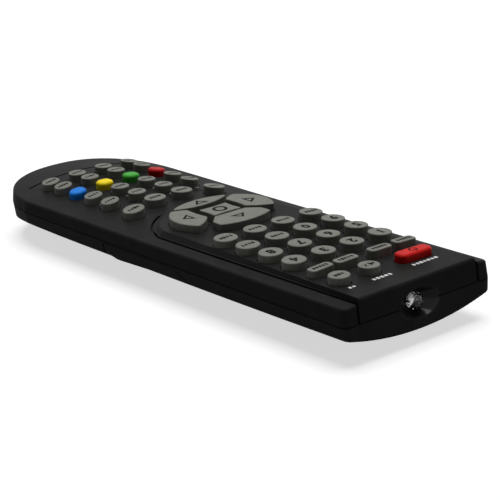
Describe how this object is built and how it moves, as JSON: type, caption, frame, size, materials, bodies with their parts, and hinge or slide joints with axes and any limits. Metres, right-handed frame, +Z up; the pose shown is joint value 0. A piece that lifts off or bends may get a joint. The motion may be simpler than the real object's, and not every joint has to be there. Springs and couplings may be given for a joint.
{
  "type": "remote control",
  "caption": "Long hand-held infrared remote control with rubber keys, an oval navigation cluster, a dished emitter window and a battery cover under its rear half.",
  "frame": {"origin": "centre of the case in plan, on the flat strip of the belly that it stands on", "axes": "+Y towards the infrared face, along the length; +X across, to the user's right; +Z up through the keys"},
  "size_m": [0.0558, 0.1767, 0.0211],
  "materials": {
    "upper_shell": "fine matte texture",
    "lower_shell": "fine matte texture",
    "cover_plastic": "fine matte texture",
    "board_laminate": "satin",
    "mat_rubber": "matte",
    "led_lens": "clear, polished",
    "cell_sleeve": "satin",
    "contact_steel": "satin",
    "key_rubber": "matte",
    "red_rubber": "satin",
    "red_key": "satin",
    "green_key": "satin",
    "yellow_key": "satin",
    "blue_key": "satin"
  },
  "bodies": {
    "case": {"top_case": "upper_shell", "bottom_case": "lower_shell", "keypad_mat": "mat_rubber", "circuit_board": "board_laminate", "ir_led": "led_lens", "battery_cells": "cell_sleeve", "battery_contacts": "contact_steel"},
    "battery_cover": {"battery_cover": "cover_plastic"},
    "key_power_body": {"key_power": "red_rubber"},
    "key_mute_body": {"key_mute": "key_rubber"},
    "key_source_body": {"key_source": "key_rubber"},
    "key_mode_1_body": {"key_mode_1": "key_rubber"},
    "key_mode_2_body": {"key_mode_2": "key_rubber"},
    "key_mode_3_body": {"key_mode_3": "key_rubber"},
    "key_mode_4_body": {"key_mode_4": "key_rubber"},
    "key_0_body": {"key_0": "key_rubber"},
    "key_1_body": {"key_1": "key_rubber"},
    "key_2_body": {"key_2": "key_rubber"},
    "key_3_body": {"key_3": "key_rubber"},
    "key_4_body": {"key_4": "key_rubber"},
    "key_5_body": {"key_5": "key_rubber"},
    "key_6_body": {"key_6": "key_rubber"},
    "key_7_body": {"key_7": "key_rubber"},
    "key_8_body": {"key_8": "key_rubber"},
    "key_9_body": {"key_9": "key_rubber"},
    "key_list_1_body": {"key_list_1": "key_rubber"},
    "key_list_2_body": {"key_list_2": "key_rubber"},
    "key_menu_1_body": {"key_menu_1": "key_rubber"},
    "key_menu_2_body": {"key_menu_2": "key_rubber"},
    "key_menu_3_body": {"key_menu_3": "key_rubber"},
    "key_menu_4_body": {"key_menu_4": "key_rubber"},
    "key_up_body": {"key_up": "key_rubber"},
    "key_down_body": {"key_down": "key_rubber"},
    "key_left_body": {"key_left": "key_rubber"},
    "key_right_body": {"key_right": "key_rubber"},
    "key_ok_body": {"key_ok": "key_rubber"},
    "key_arc_1_body": {"key_arc_1": "key_rubber"},
    "key_arc_2_body": {"key_arc_2": "key_rubber"},
    "key_arc_3_body": {"key_arc_3": "key_rubber"},
    "key_arc_4_body": {"key_arc_4": "key_rubber"},
    "key_row_a_1_body": {"key_row_a_1": "key_rubber"},
    "key_row_a_2_body": {"key_row_a_2": "key_rubber"},
    "key_row_a_3_body": {"key_row_a_3": "key_rubber"},
    "key_row_a_4_body": {"key_row_a_4": "key_rubber"},
    "key_row_b_1_body": {"key_row_b_1": "key_rubber"},
    "key_row_b_2_body": {"key_row_b_2": "key_rubber"},
    "key_row_b_3_body": {"key_row_b_3": "key_rubber"},
    "key_row_b_4_body": {"key_row_b_4": "key_rubber"},
    "key_row_c_1_body": {"key_row_c_1": "key_rubber"},
    "key_row_c_2_body": {"key_row_c_2": "key_rubber"},
    "key_row_c_3_body": {"key_row_c_3": "key_rubber"},
    "key_row_c_4_body": {"key_row_c_4": "key_rubber"},
    "key_row_d_1_body": {"key_row_d_1": "key_rubber"},
    "key_row_d_2_body": {"key_row_d_2": "key_rubber"},
    "key_row_d_3_body": {"key_row_d_3": "key_rubber"},
    "key_row_d_4_body": {"key_row_d_4": "key_rubber"},
    "key_red_body": {"key_red": "red_key"},
    "key_green_body": {"key_green": "green_key"},
    "key_yellow_body": {"key_yellow": "yellow_key"},
    "key_blue_body": {"key_blue": "blue_key"}
  },
  "joints": [
    {"name": "cover_lift", "type": "slide", "parent": "case", "child": "battery_cover", "axis": [0, 0, -1], "range_m": [0, 0.03]},
    {"name": "key_power_press", "type": "slide", "parent": "case", "child": "key_power_body", "axis": [0, 0, -1], "range_m": [0, 0.0008], "stiffness_N_per_m": 300},
    {"name": "key_mute_press", "type": "slide", "parent": "case", "child": "key_mute_body", "axis": [0, 0, -1], "range_m": [0, 0.0008], "stiffness_N_per_m": 300},
    {"name": "key_source_press", "type": "slide", "parent": "case", "child": "key_source_body", "axis": [0, 0, -1], "range_m": [0, 0.0008], "stiffness_N_per_m": 300},
    {"name": "key_mode_1_press", "type": "slide", "parent": "case", "child": "key_mode_1_body", "axis": [0, 0, -1], "range_m": [0, 0.0008], "stiffness_N_per_m": 300},
    {"name": "key_mode_2_press", "type": "slide", "parent": "case", "child": "key_mode_2_body", "axis": [0, 0, -1], "range_m": [0, 0.0008], "stiffness_N_per_m": 300},
    {"name": "key_mode_3_press", "type": "slide", "parent": "case", "child": "key_mode_3_body", "axis": [0, 0, -1], "range_m": [0, 0.0008], "stiffness_N_per_m": 300},
    {"name": "key_mode_4_press", "type": "slide", "parent": "case", "child": "key_mode_4_body", "axis": [0, 0, -1], "range_m": [0, 0.0008], "stiffness_N_per_m": 300},
    {"name": "key_0_press", "type": "slide", "parent": "case", "child": "key_0_body", "axis": [0, 0, -1], "range_m": [0, 0.0008], "stiffness_N_per_m": 300},
    {"name": "key_1_press", "type": "slide", "parent": "case", "child": "key_1_body", "axis": [0, 0, -1], "range_m": [0, 0.0008], "stiffness_N_per_m": 300},
    {"name": "key_2_press", "type": "slide", "parent": "case", "child": "key_2_body", "axis": [0, 0, -1], "range_m": [0, 0.0008], "stiffness_N_per_m": 300},
    {"name": "key_3_press", "type": "slide", "parent": "case", "child": "key_3_body", "axis": [0, 0, -1], "range_m": [0, 0.0008], "stiffness_N_per_m": 300},
    {"name": "key_4_press", "type": "slide", "parent": "case", "child": "key_4_body", "axis": [0, 0, -1], "range_m": [0, 0.0008], "stiffness_N_per_m": 300},
    {"name": "key_5_press", "type": "slide", "parent": "case", "child": "key_5_body", "axis": [0, 0, -1], "range_m": [0, 0.0008], "stiffness_N_per_m": 300},
    {"name": "key_6_press", "type": "slide", "parent": "case", "child": "key_6_body", "axis": [0, 0, -1], "range_m": [0, 0.0008], "stiffness_N_per_m": 300},
    {"name": "key_7_press", "type": "slide", "parent": "case", "child": "key_7_body", "axis": [0, 0, -1], "range_m": [0, 0.0008], "stiffness_N_per_m": 300},
    {"name": "key_8_press", "type": "slide", "parent": "case", "child": "key_8_body", "axis": [0, 0, -1], "range_m": [0, 0.0008], "stiffness_N_per_m": 300},
    {"name": "key_9_press", "type": "slide", "parent": "case", "child": "key_9_body", "axis": [0, 0, -1], "range_m": [0, 0.0008], "stiffness_N_per_m": 300},
    {"name": "key_list_1_press", "type": "slide", "parent": "case", "child": "key_list_1_body", "axis": [0, 0, -1], "range_m": [0, 0.0008], "stiffness_N_per_m": 300},
    {"name": "key_list_2_press", "type": "slide", "parent": "case", "child": "key_list_2_body", "axis": [0, 0, -1], "range_m": [0, 0.0008], "stiffness_N_per_m": 300},
    {"name": "key_menu_1_press", "type": "slide", "parent": "case", "child": "key_menu_1_body", "axis": [0, 0, -1], "range_m": [0, 0.0008], "stiffness_N_per_m": 300},
    {"name": "key_menu_2_press", "type": "slide", "parent": "case", "child": "key_menu_2_body", "axis": [0, 0, -1], "range_m": [0, 0.0008], "stiffness_N_per_m": 300},
    {"name": "key_menu_3_press", "type": "slide", "parent": "case", "child": "key_menu_3_body", "axis": [0, 0, -1], "range_m": [0, 0.0008], "stiffness_N_per_m": 300},
    {"name": "key_menu_4_press", "type": "slide", "parent": "case", "child": "key_menu_4_body", "axis": [0, 0, -1], "range_m": [0, 0.0008], "stiffness_N_per_m": 300},
    {"name": "key_up_press", "type": "slide", "parent": "case", "child": "key_up_body", "axis": [0, 0, -1], "range_m": [0, 0.0008], "stiffness_N_per_m": 300},
    {"name": "key_down_press", "type": "slide", "parent": "case", "child": "key_down_body", "axis": [0, 0, -1], "range_m": [0, 0.0008], "stiffness_N_per_m": 300},
    {"name": "key_left_press", "type": "slide", "parent": "case", "child": "key_left_body", "axis": [0, 0, -1], "range_m": [0, 0.0008], "stiffness_N_per_m": 300},
    {"name": "key_right_press", "type": "slide", "parent": "case", "child": "key_right_body", "axis": [0, 0, -1], "range_m": [0, 0.0008], "stiffness_N_per_m": 300},
    {"name": "key_ok_press", "type": "slide", "parent": "case", "child": "key_ok_body", "axis": [0, 0, -1], "range_m": [0, 0.0008], "stiffness_N_per_m": 300},
    {"name": "key_arc_1_press", "type": "slide", "parent": "case", "child": "key_arc_1_body", "axis": [0, 0, -1], "range_m": [0, 0.0008], "stiffness_N_per_m": 300},
    {"name": "key_arc_2_press", "type": "slide", "parent": "case", "child": "key_arc_2_body", "axis": [0, 0, -1], "range_m": [0, 0.0008], "stiffness_N_per_m": 300},
    {"name": "key_arc_3_press", "type": "slide", "parent": "case", "child": "key_arc_3_body", "axis": [0, 0, -1], "range_m": [0, 0.0008], "stiffness_N_per_m": 300},
    {"name": "key_arc_4_press", "type": "slide", "parent": "case", "child": "key_arc_4_body", "axis": [0, 0, -1], "range_m": [0, 0.0008], "stiffness_N_per_m": 300},
    {"name": "key_row_a_1_press", "type": "slide", "parent": "case", "child": "key_row_a_1_body", "axis": [0, 0, -1], "range_m": [0, 0.0008], "stiffness_N_per_m": 300},
    {"name": "key_row_a_2_press", "type": "slide", "parent": "case", "child": "key_row_a_2_body", "axis": [0, 0, -1], "range_m": [0, 0.0008], "stiffness_N_per_m": 300},
    {"name": "key_row_a_3_press", "type": "slide", "parent": "case", "child": "key_row_a_3_body", "axis": [0, 0, -1], "range_m": [0, 0.0008], "stiffness_N_per_m": 300},
    {"name": "key_row_a_4_press", "type": "slide", "parent": "case", "child": "key_row_a_4_body", "axis": [0, 0, -1], "range_m": [0, 0.0008], "stiffness_N_per_m": 300},
    {"name": "key_row_b_1_press", "type": "slide", "parent": "case", "child": "key_row_b_1_body", "axis": [0, 0, -1], "range_m": [0, 0.0008], "stiffness_N_per_m": 300},
    {"name": "key_row_b_2_press", "type": "slide", "parent": "case", "child": "key_row_b_2_body", "axis": [0, 0, -1], "range_m": [0, 0.0008], "stiffness_N_per_m": 300},
    {"name": "key_row_b_3_press", "type": "slide", "parent": "case", "child": "key_row_b_3_body", "axis": [0, 0, -1], "range_m": [0, 0.0008], "stiffness_N_per_m": 300},
    {"name": "key_row_b_4_press", "type": "slide", "parent": "case", "child": "key_row_b_4_body", "axis": [0, 0, -1], "range_m": [0, 0.0008], "stiffness_N_per_m": 300},
    {"name": "key_row_c_1_press", "type": "slide", "parent": "case", "child": "key_row_c_1_body", "axis": [0, 0, -1], "range_m": [0, 0.0008], "stiffness_N_per_m": 300},
    {"name": "key_row_c_2_press", "type": "slide", "parent": "case", "child": "key_row_c_2_body", "axis": [0, 0, -1], "range_m": [0, 0.0008], "stiffness_N_per_m": 300},
    {"name": "key_row_c_3_press", "type": "slide", "parent": "case", "child": "key_row_c_3_body", "axis": [0, 0, -1], "range_m": [0, 0.0008], "stiffness_N_per_m": 300},
    {"name": "key_row_c_4_press", "type": "slide", "parent": "case", "child": "key_row_c_4_body", "axis": [0, 0, -1], "range_m": [0, 0.0008], "stiffness_N_per_m": 300},
    {"name": "key_row_d_1_press", "type": "slide", "parent": "case", "child": "key_row_d_1_body", "axis": [0, 0, -1], "range_m": [0, 0.0008], "stiffness_N_per_m": 300},
    {"name": "key_row_d_2_press", "type": "slide", "parent": "case", "child": "key_row_d_2_body", "axis": [0, 0, -1], "range_m": [0, 0.0008], "stiffness_N_per_m": 300},
    {"name": "key_row_d_3_press", "type": "slide", "parent": "case", "child": "key_row_d_3_body", "axis": [0, 0, -1], "range_m": [0, 0.0008], "stiffness_N_per_m": 300},
    {"name": "key_row_d_4_press", "type": "slide", "parent": "case", "child": "key_row_d_4_body", "axis": [0, 0, -1], "range_m": [0, 0.0008], "stiffness_N_per_m": 300},
    {"name": "key_red_press", "type": "slide", "parent": "case", "child": "key_red_body", "axis": [0, 0, -1], "range_m": [0, 0.0008], "stiffness_N_per_m": 300},
    {"name": "key_green_press", "type": "slide", "parent": "case", "child": "key_green_body", "axis": [0, 0, -1], "range_m": [0, 0.0008], "stiffness_N_per_m": 300},
    {"name": "key_yellow_press", "type": "slide", "parent": "case", "child": "key_yellow_body", "axis": [0, 0, -1], "range_m": [0, 0.0008], "stiffness_N_per_m": 300},
    {"name": "key_blue_press", "type": "slide", "parent": "case", "child": "key_blue_body", "axis": [0, 0, -1], "range_m": [0, 0.0008], "stiffness_N_per_m": 300}
  ]
}
